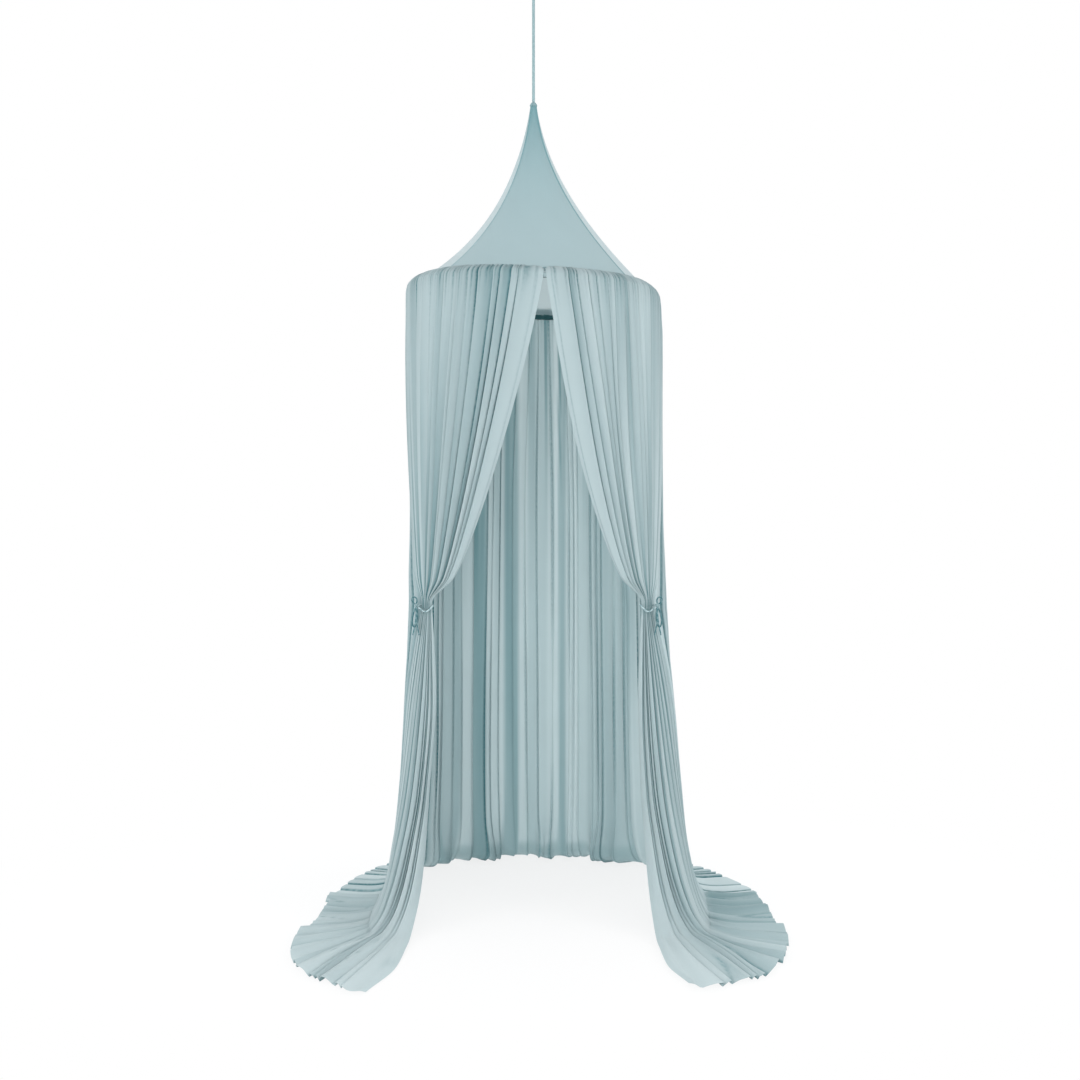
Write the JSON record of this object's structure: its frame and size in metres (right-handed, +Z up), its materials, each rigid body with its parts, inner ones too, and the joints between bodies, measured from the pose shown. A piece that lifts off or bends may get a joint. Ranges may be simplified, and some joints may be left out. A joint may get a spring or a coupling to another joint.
{
  "type": "bed canopy",
  "caption": "Hanging crown canopy: a jersey cone on a hoop carries gathered curtains, tied back at the sides and trailing on the floor, and hangs from a ceiling hook by a cord strap.",
  "frame": {"origin": "middle of the ceiling plate's top face, where the fitting meets the ceiling", "axes": "+Z up, +X to the right and -Y towards the viewer, who looks into the opening between the tied curtains"},
  "size_m": [1.0348, 1.3135, 2.2],
  "materials": {
    "curtain": "fine matte knit, softly see-through",
    "jersey": "smooth matte jersey",
    "channel": "doubled cloth tape, dark teal",
    "cord": "matte knitted cord",
    "rod": "smooth glass-fibre rod",
    "steel": "satin"
  },
  "bodies": {
    "ceiling_fitting": {"ceiling_plate": "steel", "plate_screw_left": "steel", "plate_screw_right": "steel", "ceiling_hook": "steel"},
    "strap": {"hanging_ring": "steel", "strap_loop": "cord", "hanging_strap": "cord"},
    "cuff": {"peak_cuff": "jersey"},
    "canopy": {"cone_front": "jersey", "cone_right_back": "jersey", "cone_left_back": "jersey", "hoop_rod_1": "rod", "hoop_rod_2": "rod", "hoop_rod_3": "rod", "hoop_rod_4": "rod", "hoop_ferrule_1": "steel", "hoop_ferrule_2": "steel", "hoop_ferrule_3": "steel", "hoop_ferrule_4": "steel", "hoop_channel": "channel", "gathered_header": "curtain", "back_curtain": "curtain", "left_side_curtain": "curtain", "right_side_curtain": "curtain", "left_front_curtain": "curtain", "right_front_curtain": "curtain", "left_tie_band": "cord", "left_tie_knot": "cord", "left_bow_upper": "cord", "left_bow_lower": "cord", "right_tie_band": "cord", "right_tie_knot": "cord", "right_bow_upper": "cord", "right_bow_lower": "cord"},
    "left_train": {"left_train": "curtain"},
    "right_train": {"right_train": "curtain"},
    "left_tie_ends": {"left_tie_ends": "cord"},
    "right_tie_ends": {"right_tie_ends": "cord"}
  },
  "joints": [
    {"name": "strap_swing", "type": "hinge", "parent": "ceiling_fitting", "child": "strap", "pos_m": [0, 0, -0.0343], "axis": [0, 1, 0], "range_deg": [-8, 8]},
    {"name": "canopy_plumb", "type": "hinge", "parent": "strap", "child": "cuff", "pos_m": [0, 0, -0.3205], "axis": [0, 1, 0], "range_deg": [-8, 8]},
    {"name": "canopy_turn", "type": "hinge", "parent": "cuff", "child": "canopy", "pos_m": [0, 0, -0.331], "axis": [0, 0, 1], "range_deg": [-90, 90]},
    {"name": "left_train_sweep", "type": "hinge", "parent": "canopy", "child": "left_train", "pos_m": [-0.24537, -0.11967, -1.53], "axis": [0, 0, 1], "range_deg": [0, 15]},
    {"name": "right_train_sweep", "type": "hinge", "parent": "canopy", "child": "right_train", "pos_m": [0.26228, -0.11897, -1.53], "axis": [0, 0, -1], "range_deg": [0, 15]},
    {"name": "left_tie_swing", "type": "hinge", "parent": "canopy", "child": "left_tie_ends", "pos_m": [-0.2694, -0.1251, -1.52], "axis": [0, 1, 0], "range_deg": [0, 60]},
    {"name": "right_tie_swing", "type": "hinge", "parent": "canopy", "child": "right_tie_ends", "pos_m": [0.2863, -0.1244, -1.52], "axis": [0, -1, 0], "range_deg": [0, 60]}
  ],
  "couplings": [
    {"joint": "canopy_plumb", "follows": "strap_swing", "ratio": -1}
  ]
}
